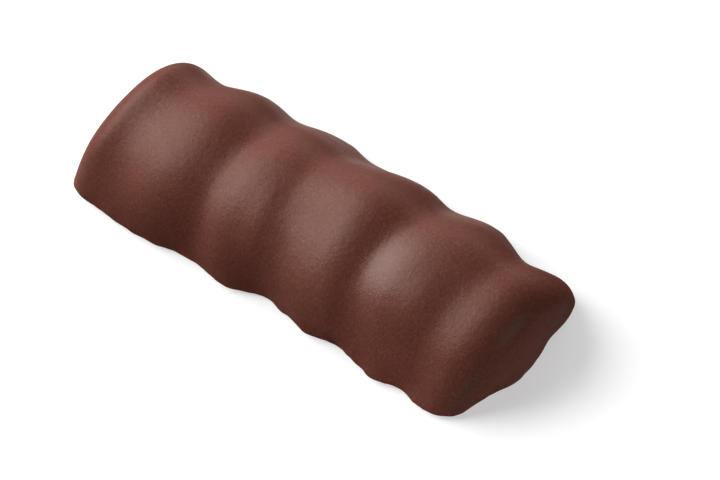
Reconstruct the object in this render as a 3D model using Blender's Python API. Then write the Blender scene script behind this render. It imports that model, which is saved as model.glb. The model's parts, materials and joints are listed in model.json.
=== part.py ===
"""Marshmallow twist: one whole bar of marshmallow in a thin chocolate coat.

The bar lies along X on its flat foot, with +Z up and the origin under the middle of its box.
Its section is a D: a flat foot, short upright sides and a rounded crown. Six soft ridges, with
five valleys between them, wind slantwise over the crown and the two sides. The ends are cut
almost square, with a rounded rim. Sizes are in metres.
"""

import math

import bmesh
import bpy

# The bar as a whole.
LENGTH = 0.0780
WIDTH = 0.030
HEIGHT = 0.0202
HALF_LENGTH = LENGTH / 2
HALF_WIDTH = WIDTH / 2

# The D of the section: its widest line lies a little above the foot. A power of 2 is a plain
# ellipse, less is slimmer at the shoulder and more is squarer.
WIDEST_LINE = 0.0017
CROWN_POWER = 1.92
CROWN_LOPSIDED = 0.51
FOOT_POWER = 3.5
FOOT_SINK = 1.1

# The five valleys from the -X end to the +X end: where each crosses the bar, how deep it is, how
# much deeper on the far side, and how softly it is rounded.
VALLEYS = (-0.0313, -0.0142, -0.0007, 0.0169, 0.0321)
DEPTHS = (0.00125, 0.00114, 0.00164, 0.00125, 0.00225)
DEEPER_FAR = (0.32, -0.13, -0.32, -0.14, 0.35)
SOFTNESS = (0.36, 0.53, 0.26, 0.34, 0.20)

# How each valley winds round the bar: how far it slants along X from side to side, how much of
# that is curled into the foot, and how far it runs ahead on the crown.
SLANTS = (0.00233, 0.00054, 0.00001, 0.00220, 0.00233)
CURLS = (-0.00029, -0.00201, -0.00059, -0.00317, -0.00360)
LEADS = (0.00677, 0.00485, 0.00256, 0.00435, 0.00250)
LEAD_LEVEL = 0.7

# The six ridges: the first and the last run out past the ends, each leans one way, and each is a
# little thicker or thinner than the bar's plain section.
FIRST_PITCH = 0.0140
LAST_PITCH = 0.0343
RIDGE_SKEWS = (0.45, -0.30, 0.19, -0.61, 0.09, -0.82)
RIDGE_GIRTHS = (0.00001, 0.00060, -0.00012, 0.00041, -0.00057, 0.00073)
RIDGE_AT_FOOT = 0.86

# Soft swells and dents of the crown and the near flank: the place along X and the angle round the
# section, how far each reaches along and round, and how high it stands.
SWELLS = (
    (-0.0301, 2.58, 0.0051, 0.46, -0.00077),
    (-0.0133, 1.37, 0.0122, 0.42, -0.00120),
    (-0.0017, 2.44, 0.0030, 0.60, 0.00117),
    (0.0072, 2.17, 0.0048, 0.55, -0.00093),
    (0.0151, 2.92, 0.0034, 0.59, 0.00129),
    (0.0226, 2.02, 0.0030, 0.60, 0.00043),
    (0.0279, 2.16, 0.0030, 0.34, 0.00073),
)

# The two ends: the rim's radius, then how far the end face leans with height, is skewed across,
# swells across and with height, toes out at the foot, and how much lower and wider the bar is.
RIM_RADIUS = 0.0038
FACE_CENTRE = 0.4
LEFT_LEAN = 0.445
RIGHT_LEAN = 0.069
LEFT_SKEW = 0.098
RIGHT_SKEW = 0.003
LEFT_SWELL = 0.00099
RIGHT_SWELL = 0.00350
LEFT_BELLY = 0.00016
RIGHT_BELLY = 0.00203
LEFT_TOE = 0.00006
RIGHT_TOE = 0.00037
LEFT_DROP = 0.017
RIGHT_DROP = 0.136
LEFT_WIDENING = 0.009
RIGHT_WIDENING = 0.099

# The body is a little bowed, and the soft foot spreads unevenly on both sides. Its edge ripples,
# more and more towards the right end, where the far corner of the foot is drawn in.
BOW = -0.00053
NEAR_SPREAD = (0.0009, 0.0000, 0.0007, 0.0002, 0.0023, 0.0019)
FAR_SPREAD = (0.0008, 0.0002, 0.0023, 0.0007, 0.0014, -0.0017)
SPREAD_HEIGHT = 0.55
RIPPLE_HEIGHT = 0.0030
RIPPLES = ((0.00044, 0.0080, 1.63), (0.00061, 0.0160, 0.35))
RIPPLE_AT_LEFT = 0.12
FACE_RIPPLE = (0.00059, 0.0143, 3.20)
FACE_RIPPLE_HEIGHT = 0.0050

# How finely the skin is divided, round the section and from end to end.
SIDES = 60
RINGS = 84

CHOCOLATE = (0.085, 0.030, 0.022, 1.0)


def clamp(value, low=0.0, high=1.0):
    return min(max(value, low), high)


def smoothstep(value):
    value = clamp(value)
    return value * value * (3.0 - 2.0 * value)


def signed_power(value, power):
    return math.copysign(abs(value) ** power, value)


def mix(first, second, share):
    return first + (second - first) * share


def along_ridges(x, values):
    """A smooth curve along the bar through one value for each ridge."""
    step = LENGTH / (len(values) - 1)
    place = clamp((x + HALF_LENGTH) / step, 0.0, len(values) - 1.001)
    k = int(place)
    share = place - k
    before = values[max(k - 1, 0)]
    after = values[min(k + 2, len(values) - 1)]
    rise_here = (values[k + 1] - before) / 2
    rise_next = (after - values[k]) / 2
    square = share * share
    cube = square * share
    return (
        (2 * cube - 3 * square + 1) * values[k]
        + (cube - 2 * square + share) * rise_here
        + (3 * square - 2 * cube) * values[k + 1]
        + (cube - square) * rise_next
    )


def station(share):
    """Where a ring lies, from the middle of one end face (0) to the middle of the other (1).

    Returns its x, how far the rim has drawn it in, and its size within the end face."""
    face = HALF_WIDTH - RIM_RADIUS
    rim = RIM_RADIUS * math.pi / 2
    half_body = HALF_LENGTH - RIM_RADIUS
    walk = (face + rim + half_body) * (1.0 - abs(1.0 - 2.0 * share))
    if walk < face:
        within = walk / face
        x = HALF_LENGTH
        drawn_in = 1.0 - RIM_RADIUS / HALF_WIDTH
    elif walk < face + rim:
        within = 1.0
        turn = (walk - face) / RIM_RADIUS
        x = HALF_LENGTH - RIM_RADIUS * (1.0 - math.cos(turn))
        drawn_in = 1.0 - RIM_RADIUS * (1.0 - math.sin(turn)) / HALF_WIDTH
    else:
        within = 1.0
        drawn_in = 1.0
        x = half_body - (walk - face - rim)
    return math.copysign(x, share - 0.5), drawn_in, within


def section(x, angle):
    """The D at x: y to the side and z above the widest line. The crown is at a right angle."""
    across = math.cos(angle)
    up = math.sin(angle)
    power = CROWN_POWER - CROWN_LOPSIDED * across if up >= 0.0 else FOOT_POWER
    reach = HEIGHT - WIDEST_LINE if up >= 0.0 else WIDEST_LINE * FOOT_SINK
    girth = 1.0 + along_ridges(x, RIDGE_GIRTHS) / HALF_WIDTH
    y = HALF_WIDTH * girth * signed_power(across, 2 / power)
    z = reach * signed_power(up, 2 / power)
    return y, z * girth if up >= 0.0 else z


def valley_place(k, angle):
    """Where valley k lies along X, at an angle round the bar."""
    across = math.cos(angle)
    lead = LEADS[k] * (abs(math.sin(angle)) - LEAD_LEVEL)
    return VALLEYS[k] + SLANTS[k] * across + CURLS[k] * across**3 + lead


def valley_depth(x, angle, lift):
    """How far the skin lies below the ridges' tops, at a place on the skin."""
    places = [valley_place(k, angle) for k in range(len(VALLEYS))]
    stops = [places[0] - FIRST_PITCH] + places + [places[-1] + LAST_PITCH]
    ridge = max(k for k in range(len(stops) - 1) if k == 0 or x >= stops[k])
    share = clamp((x - stops[ridge]) / (stops[ridge + 1] - stops[ridge]))
    before = max(ridge - 1, 0)
    after = min(ridge, len(VALLEYS) - 1)

    across = math.cos(angle)
    softness = mix(SOFTNESS[before], SOFTNESS[after], share)
    depth_before = DEPTHS[before] * (1.0 + DEEPER_FAR[before] * across)
    depth_after = DEPTHS[after] * (1.0 + DEEPER_FAR[after] * across)
    turn = math.pi * (share + RIDGE_SKEWS[ridge] * share * (1.0 - share))
    wave = math.sqrt(math.sin(turn) ** 2 + softness**2) - softness
    top = math.sqrt(1.0 + softness**2) - softness
    fade = mix(RIDGE_AT_FOOT, 1.0, smoothstep(2.0 * lift))
    return mix(depth_before, depth_after, share) * fade * (1.0 - wave / top)


def swell_height(x, angle):
    """How far the soft swells lift the skin."""
    lift = 0.0
    for place, round_angle, reach, round_reach, height in SWELLS:
        away = ((x - place) / reach) ** 2 + ((angle - round_angle) / round_reach) ** 2
        lift += height * math.exp(-away)
    return lift


def nearness_to_foot(height):
    """One on the ground, falling softly to nothing at the height where the spread ends."""
    return clamp(1.0 - height / (SPREAD_HEIGHT * HEIGHT)) ** 1.5


def foot_spread(x, angle, height):
    """How far the soft foot has spread sideways at a height above the ground."""
    across = math.cos(angle)
    values = FAR_SPREAD if across > 0.0 else NEAR_SPREAD
    ripple = sum(size * math.sin(math.tau * x / length + start) for size, length, start in RIPPLES)
    ripple *= mix(RIPPLE_AT_LEFT, 1.0, (1.0 + x / HALF_LENGTH) / 2)
    ripple *= clamp(1.0 - height / RIPPLE_HEIGHT)
    spread = along_ridges(x, values) * nearness_to_foot(height)
    return signed_power(across, 0.5) * (spread + ripple)


def skin_point(share, angle):
    """A point of the bar's skin, from its place along the bar and its angle round it."""
    x, drawn_in, within = station(share)
    along = x / HALF_LENGTH
    left = clamp(-along)
    right = clamp(along)

    y, z = section(x, angle)
    radius = math.hypot(y, z)
    lift = clamp((z + WIDEST_LINE) / HEIGHT)
    grow = 1.0 + (swell_height(x, angle) - valley_depth(x, angle, lift)) / radius
    height = max(WIDEST_LINE + z * (grow if z > 0.0 else 1.0), 0.0)

    middle = FACE_CENTRE * HEIGHT
    z = middle + (height * drawn_in - middle) * within
    z = max(z * (1.0 - LEFT_DROP * left**3 - RIGHT_DROP * right**3), 0.0)
    y = y * grow + foot_spread(x, angle, height)
    y *= drawn_in * within * (1.0 + LEFT_WIDENING * left**3 + RIGHT_WIDENING * right**3)
    y += BOW * (1.0 - along**2)

    across = 1.0 - (y / HALF_WIDTH) ** 2
    tilt = z - HEIGHT / 2
    upright = 1.0 - (2.0 * tilt / HEIGHT) ** 2
    size, length, start = FACE_RIPPLE
    ripple = size * math.sin(math.tau * y / length + start) * clamp(1.0 - z / FACE_RIPPLE_HEIGHT)
    x += left**2 * (LEFT_SKEW * y + LEFT_LEAN * tilt - LEFT_SWELL * across)
    x += right**2 * (RIGHT_SKEW * y + RIGHT_LEAN * tilt + RIGHT_SWELL * across)
    x += (right**2 * RIGHT_TOE - left**2 * LEFT_TOE) * nearness_to_foot(z)
    x += right**4 * ripple
    x += (right**8 * RIGHT_BELLY - left**8 * LEFT_BELLY) * upright
    return x, y, z


def bar_mesh(name):
    """A sphere with its poles at the two end faces, moved onto the bar's skin."""
    bm = bmesh.new()
    bmesh.ops.create_uvsphere(bm, u_segments=SIDES, v_segments=RINGS, radius=1.0)
    for vert in bm.verts:
        share = math.acos(clamp(-vert.co.z, -1.0, 1.0)) / math.pi
        vert.co = skin_point(share, math.atan2(vert.co.y, vert.co.x))
    spans = [(min(v.co[k] for v in bm.verts), max(v.co[k] for v in bm.verts)) for k in range(2)]
    centre = [-(low + high) / 2 for low, high in spans]
    bmesh.ops.translate(bm, verts=bm.verts, vec=(centre[0], centre[1], 0.0))
    bmesh.ops.recalc_face_normals(bm, faces=bm.faces)
    mesh = bpy.data.meshes.new(name)
    bm.to_mesh(mesh)
    bm.free()
    mesh.shade_smooth()
    return mesh


def chocolate():
    material = bpy.data.materials.new("chocolate_coat")
    material.use_nodes = True
    shader = material.node_tree.nodes["Principled BSDF"]
    shader.inputs["Base Color"].default_value = CHOCOLATE
    shader.inputs["Roughness"].default_value = 0.42
    shader.inputs["Metallic"].default_value = 0.0
    return material


for old in list(bpy.data.objects):
    bpy.data.objects.remove(old)

collection = bpy.data.collections.new("marshmallow_twist")
bpy.context.scene.collection.children.link(collection)

coated_bar = bpy.data.objects.new("coated_bar", bar_mesh("coated_bar"))
coated_bar.data.materials.append(chocolate())
collection.objects.link(coated_bar)
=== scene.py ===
"""Marshmallow twist: the finish, the light and the view of one chocolate-coated bar."""

import json
import math

import bpy
from mathutils import Matrix, Vector

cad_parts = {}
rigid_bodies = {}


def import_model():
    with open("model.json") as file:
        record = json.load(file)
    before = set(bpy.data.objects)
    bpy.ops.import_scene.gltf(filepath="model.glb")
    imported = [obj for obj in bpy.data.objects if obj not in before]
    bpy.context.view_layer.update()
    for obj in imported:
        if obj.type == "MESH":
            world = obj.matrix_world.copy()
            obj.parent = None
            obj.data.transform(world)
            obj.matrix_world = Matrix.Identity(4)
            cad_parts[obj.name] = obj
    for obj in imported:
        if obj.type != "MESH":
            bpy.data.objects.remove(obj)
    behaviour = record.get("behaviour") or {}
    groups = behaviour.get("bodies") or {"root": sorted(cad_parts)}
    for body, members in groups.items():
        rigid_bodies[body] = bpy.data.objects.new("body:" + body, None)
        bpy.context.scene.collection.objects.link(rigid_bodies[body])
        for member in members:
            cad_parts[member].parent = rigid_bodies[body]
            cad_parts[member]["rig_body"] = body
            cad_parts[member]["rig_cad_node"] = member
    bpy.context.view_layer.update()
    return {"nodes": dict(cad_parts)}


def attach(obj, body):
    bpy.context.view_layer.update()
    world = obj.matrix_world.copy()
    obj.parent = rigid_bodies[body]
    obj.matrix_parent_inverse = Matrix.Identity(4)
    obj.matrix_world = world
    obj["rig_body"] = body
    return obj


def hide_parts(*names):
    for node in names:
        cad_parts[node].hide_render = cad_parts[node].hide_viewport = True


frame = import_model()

# The coated bar. Soft marshmallow rope is cut to length, its ridges are pressed in slantwise, and
# it goes on its flat foot through a curtain of chocolate. The coat evens out over the ridges, runs
# down the sides and sets as a thin ragged lip round the foot.
MERGE_DISTANCE = 0.00001
QUAD_BEND = math.radians(60)
QUAD_SKEW = math.radians(180)
SKIN_LEVELS = 2

bpy.ops.object.select_all(action="DESELECT")
bar = frame["nodes"]["coated_bar"].copy()
bar.data = bar.data.copy()
bar.name = "chocolate_bar"
bar.data.name = "chocolate_bar"
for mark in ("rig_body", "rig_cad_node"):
    del bar[mark]
bar.parent = None
bpy.context.scene.collection.objects.link(bar)
bar.select_set(True)
bpy.context.view_layer.objects.active = bar
bpy.ops.object.mode_set(mode="EDIT")
bpy.ops.mesh.select_all(action="SELECT")
bpy.ops.mesh.remove_doubles(threshold=MERGE_DISTANCE)
bpy.ops.mesh.tris_convert_to_quads(face_threshold=QUAD_BEND, shape_threshold=QUAD_SKEW)
bpy.ops.object.mode_set(mode="OBJECT")
skin = bar.modifiers.new("skin", "SUBSURF")
skin.levels = SKIN_LEVELS
skin.render_levels = SKIN_LEVELS
bpy.ops.object.modifier_apply(modifier=skin.name)

# Where the coat may swell, by height above the foot: the skin everywhere but on the foot itself,
# and the lip in a narrow band just above it.
FOOT_LEVEL = 0.0002
LIP_LEVEL = 0.0008
LIP_TOP = 0.0024
SKIN_FROM = 0.0030


def share(height, none_at, full_at):
    return min(max((height - none_at) / (full_at - none_at), 0.0), 1.0)


skin_zone = bar.vertex_groups.new(name="skin_zone")
lip_zone = bar.vertex_groups.new(name="lip_zone")
for vertex in bar.data.vertices:
    height = vertex.co.z
    on_skin = share(height, FOOT_LEVEL, SKIN_FROM)
    on_lip = share(height, FOOT_LEVEL, LIP_LEVEL) * share(height, LIP_TOP, LIP_LEVEL)
    skin_zone.add([vertex.index], on_skin, "REPLACE")
    lip_zone.add([vertex.index], on_lip, "REPLACE")


def swell(name, zone, spacing, height, contrast):
    texture = bpy.data.textures.new(name, "CLOUDS")
    texture.noise_scale = spacing
    texture.noise_depth = 1
    texture.contrast = contrast
    relief = bar.modifiers.new(name, "DISPLACE")
    relief.texture = texture
    relief.texture_coords = "LOCAL"
    relief.vertex_group = zone
    relief.mid_level = 0.5
    relief.strength = height
    bpy.ops.object.modifier_apply(modifier=relief.name)


swell("soft_dents", "skin_zone", spacing=0.0100, height=0.00010, contrast=1.0)
swell("ragged_lip", "lip_zone", spacing=0.0030, height=0.00014, contrast=4.0)
bpy.ops.object.shade_smooth()

# The chocolate is a satin milk-chocolate brown. It is a little redder and paler where the coat is
# thin, and it is full of fine grains, under half a millimetre across, that show more in its sheen
# than in its colour.
coat = bpy.data.materials.new("chocolate_coat")
coat.use_nodes = True
coat_nodes = coat.node_tree.nodes
coat_links = coat.node_tree.links
coat_shader = coat_nodes["Principled BSDF"]
coat_shader.inputs["IOR"].default_value = 1.45
coat_shader.inputs["Specular IOR Level"].default_value = 0.2
coat_shader.inputs["Specular Tint"].default_value = (1.0, 0.96, 0.86, 1.0)
coat_place = coat_nodes.new("ShaderNodeTexCoord").outputs["Object"]


# A noise's scale is roughly how many of its grains fit side by side into a metre.
def coat_noise(scale, detail, roughness):
    noise = coat_nodes.new("ShaderNodeTexNoise")
    noise.inputs["Scale"].default_value = scale
    noise.inputs["Detail"].default_value = detail
    noise.inputs["Roughness"].default_value = roughness
    coat_links.new(coat_place, noise.inputs["Vector"])
    return noise.outputs["Fac"]


def coat_ramp(value, low, high, low_colour, high_colour):
    ramp = coat_nodes.new("ShaderNodeValToRGB")
    ramp.color_ramp.elements[0].position = low
    ramp.color_ramp.elements[0].color = low_colour
    ramp.color_ramp.elements[1].position = high
    ramp.color_ramp.elements[1].color = high_colour
    coat_links.new(value, ramp.inputs["Fac"])
    return ramp.outputs["Color"]


def coat_grey(value, low, high, low_tone, high_tone):
    return coat_ramp(value, low, high, (low_tone,) * 3 + (1.0,), (high_tone,) * 3 + (1.0,))


# On a Mix node, inputs 6 and 7 are its two colours, and output 2 is the mixed one.
def coat_mix(share_of_second, first, second):
    mix = coat_nodes.new("ShaderNodeMix")
    mix.data_type = "RGBA"
    coat_links.new(share_of_second, mix.inputs["Factor"])
    coat_links.new(first, mix.inputs[6])
    coat_links.new(second, mix.inputs[7])
    return mix.outputs[2]


def coat_bump(relief, depth, under=None):
    bump = coat_nodes.new("ShaderNodeBump")
    bump.inputs["Strength"].default_value = 1.0
    bump.inputs["Distance"].default_value = depth
    coat_links.new(relief, bump.inputs["Height"])
    if under is not None:
        coat_links.new(under, bump.inputs["Normal"])
    return bump.outputs["Normal"]


# Broad clouds of thicker and thinner coat, with a redder cast where it is thin.
dark_cloud = (0.104, 0.0298, 0.0201, 1.0)
pale_cloud = (0.116, 0.0344, 0.0231, 1.0)
clouds = coat_noise(scale=110.0, detail=3.0, roughness=0.55)
cloudy = coat_ramp(clouds, 0.32, 0.68, dark_cloud, pale_cloud)

# Fine grain all through the coat, stronger in some places than in others.
dark_grain = (0.093, 0.0238, 0.0158, 1.0)
pale_grain = (0.128, 0.0412, 0.0284, 1.0)
grain = coat_noise(scale=2300.0, detail=2.0, roughness=0.6)
grainy = coat_ramp(grain, 0.36, 0.64, dark_grain, pale_grain)
grain_places = coat_noise(scale=160.0, detail=2.0, roughness=0.5)
grain_share = coat_grey(grain_places, 0.35, 0.70, 0.45, 0.80)
blended = coat_mix(grain_share, cloudy, grainy)

# Sparse paler grains that lie on its skin, in loose patches.
dark_crystal = (0.140, 0.047, 0.032, 1.0)
pale_crystal = (0.190, 0.072, 0.049, 1.0)
crystals = coat_nodes.new("ShaderNodeTexVoronoi")
crystals.inputs["Scale"].default_value = 1700.0
crystals.inputs["Randomness"].default_value = 1.0
coat_links.new(coat_place, crystals.inputs["Vector"])
crystal_dots = coat_grey(crystals.outputs["Distance"], 0.12, 0.34, 1.0, 0.0)
crystal_places = coat_noise(scale=520.0, detail=2.0, roughness=0.6)
crystal_patches = coat_grey(crystal_places, 0.38, 0.66, 0.0, 0.72)
crystal_share = coat_nodes.new("ShaderNodeMath")
crystal_share.operation = "MULTIPLY"
coat_links.new(crystal_dots, crystal_share.inputs[0])
coat_links.new(crystal_patches, crystal_share.inputs[1])
crystal_tint = coat_ramp(grain, 0.30, 0.70, dark_crystal, pale_crystal)
coat_colour = coat_mix(crystal_share.outputs["Value"], blended, crystal_tint)
coat_links.new(coat_colour, coat_shader.inputs["Base Color"])

# The satin is uneven: smoother where the chocolate ran freely, as in a patch on the near side of
# the fifth ridge, and duller where it set slowly. The middle of that patch has a thin gloss too.
PATCH_CENTRE = (0.0203, -0.0052, 0.0176)
PATCH_CORE = 0.002
PATCH_REACH = 0.009
GLOSS_CORE = 0.0005
GLOSS_REACH = 0.0055
GLOSS_WEIGHT = 0.17

uneven = coat_noise(scale=240.0, detail=3.0, roughness=0.6)
satin = coat_grey(uneven, 0.30, 0.70, 0.42, 0.50)
smoother_satin = coat_grey(uneven, 0.30, 0.70, 0.30, 0.36)
from_patch = coat_nodes.new("ShaderNodeVectorMath")
from_patch.operation = "DISTANCE"
from_patch.inputs[1].default_value = PATCH_CENTRE
coat_links.new(coat_place, from_patch.inputs[0])
in_patch = coat_grey(from_patch.outputs["Value"], PATCH_CORE, PATCH_REACH, 1.0, 0.0)
coat_roughness = coat_mix(in_patch, satin, smoother_satin)
coat_links.new(coat_roughness, coat_shader.inputs["Roughness"])
coat_shader.inputs["Coat Roughness"].default_value = 0.3
patch_gloss = coat_grey(from_patch.outputs["Value"], GLOSS_CORE, GLOSS_REACH, GLOSS_WEIGHT, 0.0)
coat_links.new(patch_gloss, coat_shader.inputs["Coat Weight"])

# Fine relief of the skin: the grain, over faint ripples about a millimetre apart.
RIPPLE_DEPTH = 0.00007
GRAIN_DEPTH = 0.000048

ripples = coat_noise(scale=1000.0, detail=2.0, roughness=0.5)
ripple_normal = coat_bump(ripples, RIPPLE_DEPTH)
fine_grain = coat_noise(scale=4200.0, detail=2.0, roughness=0.6)
grain_normal = coat_bump(fine_grain, GRAIN_DEPTH, ripple_normal)
coat_links.new(grain_normal, coat_shader.inputs["Normal"])

bar.data.materials.clear()
bar.data.materials.append(coat)
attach(bar, "root")
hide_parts("coated_bar")

# The table: a plain pale sheet of smooth board, larger than the view, with a barely visible tooth.
# It takes the bar's soft shadow and glows a little, so that it stays white. It throws no light back
# at the bar and stops none, because soft boxes below it do that part.
FLOOR_SIZE = 6.0
FLOOR_DROP = 0.0001

bpy.ops.object.select_all(action="DESELECT")
bpy.ops.mesh.primitive_plane_add(size=FLOOR_SIZE, location=(0.0, 0.0, -FLOOR_DROP))
floor = bpy.context.object
floor.name = "pale_table"
paper = bpy.data.materials.new("pale_table")
paper.use_nodes = True
paper_nodes = paper.node_tree.nodes
paper_links = paper.node_tree.links
paper_shader = paper_nodes["Principled BSDF"]
paper_shader.inputs["Roughness"].default_value = 0.9
paper_shader.inputs["Emission Color"].default_value = (1.0, 1.0, 1.0, 1.0)
paper_shader.inputs["Emission Strength"].default_value = 0.50
paper_place = paper_nodes.new("ShaderNodeTexCoord")
paper_tooth = paper_nodes.new("ShaderNodeTexNoise")
paper_tooth.inputs["Scale"].default_value = 900.0
paper_tone = paper_nodes.new("ShaderNodeValToRGB")
paper_tone.color_ramp.elements[0].color = (0.490, 0.490, 0.490, 1.0)
paper_tone.color_ramp.elements[1].color = (0.510, 0.510, 0.510, 1.0)
paper_links.new(paper_place.outputs["Object"], paper_tooth.inputs["Vector"])
paper_links.new(paper_tooth.outputs["Fac"], paper_tone.inputs["Fac"])
paper_links.new(paper_tone.outputs["Color"], paper_shader.inputs["Base Color"])
floor.data.materials.append(paper)
floor.visible_diffuse = False
floor.visible_glossy = False
floor.visible_shadow = False

# The light: square soft boxes round the bar, each given by the side and height that it stands at,
# in degrees, its power in watts, and its distance and size. Those named bounce stand below the
# table's level, for the light that a white table throws back.
BOX_DISTANCE = 1.50
BOX_SIZE = 0.88
WHITE = (1.0, 1.0, 1.0)


def outward(azimuth, elevation):
    turn = math.radians(azimuth)
    rise = math.radians(elevation)
    return Vector((math.sin(turn) * math.cos(rise), -math.cos(turn) * math.cos(rise), math.sin(rise)))


def softbox(name, azimuth, elevation, power, distance=BOX_DISTANCE, size=BOX_SIZE, tint=WHITE):
    data = bpy.data.lights.new(name, "AREA")
    data.shape = "SQUARE"
    data.size = size
    data.energy = power
    data.color = tint
    lamp = bpy.data.objects.new(name, data)
    lamp.location = outward(azimuth, elevation) * distance
    lamp.rotation_mode = "QUATERNION"
    lamp.rotation_quaternion = outward(azimuth, elevation).to_track_quat("Z", "Y")
    lamp.visible_camera = False
    bpy.context.scene.collection.objects.link(lamp)
    return lamp


softbox("key", -75.0, 44.0, 42.6, size=1.55)
softbox("near_key", -60.0, 32.0, 5.8)
softbox("left_fill", -120.0, 32.0, 5.9)
softbox("near_fill", -60.0, 8.0, 3.0)
softbox("right_fill", 90.0, 8.0, 4.6)
softbox("far_fill", 210.0, 8.0, 1.1)
softbox("far_bounce", 232.0, -47.0, 0.056, distance=0.20, size=0.12, tint=(1.0, 0.85, 0.80))
softbox("far_bounce_low", 225.0, -2.0, 0.025, distance=0.25, size=0.15)
softbox("left_bounce", -104.0, -36.0, 1.3, tint=(1.0, 0.90, 0.74))
softbox("end_bounce", 145.0, -60.0, 0.5, tint=(1.0, 0.78, 0.82))

# Matt fills light the far side, the low +X end and its near corner, the toe, and leave no gloss on
# the coat. The last is small and close by, as light that the table throws back beside the toe.
for matt_fill in (
    softbox("matt_back", 195.0, 8.0, 18.0),
    softbox("matt_right", 90.0, -12.0, 2.9),
    softbox("matt_toe", 48.0, -28.0, 0.034, distance=0.11, size=0.08),
):
    matt_fill.visible_glossy = False

world = bpy.data.worlds.new("studio")
world.use_nodes = True
world_light = world.node_tree.nodes["Background"]
world_light.inputs["Color"].default_value = (1.0, 1.0, 1.0, 1.0)
world_light.inputs["Strength"].default_value = 0.03
bpy.context.scene.world = world

# The camera looks down on the near side of the bar from beyond its +X end, through a long lens. It
# is rolled, so that the bar runs from the upper left of the picture to the lower right.
VIEW_AZIMUTH = 54.0
VIEW_ELEVATION = 50.889
VIEW_ROLL = -17.600
VIEW_DISTANCE = 1.05087
AIM = Vector((0.003134, 0.003767, -0.000355))
LENS = 333.65
SENSOR_WIDTH = 36.0

turn = math.radians(VIEW_AZIMUTH)
roll = math.radians(VIEW_ROLL)
back = outward(VIEW_AZIMUTH, VIEW_ELEVATION)
level = Vector((math.cos(turn), math.sin(turn), 0.0))
upright = back.cross(level)
right = level * math.cos(roll) + upright * math.sin(roll)
up = upright * math.cos(roll) - level * math.sin(roll)
placed = Matrix((right, up, back)).transposed().to_4x4()
placed.translation = AIM + back * VIEW_DISTANCE
camera = bpy.data.objects.new("camera", bpy.data.cameras.new("camera"))
camera.data.lens = LENS
camera.data.sensor_width = SENSOR_WIDTH
camera.data.clip_start = 0.1
camera.data.clip_end = 10.0
camera.matrix_world = placed
bpy.context.scene.collection.objects.link(camera)
bpy.context.scene.camera = camera
bpy.context.scene.view_settings.view_transform = "Standard"
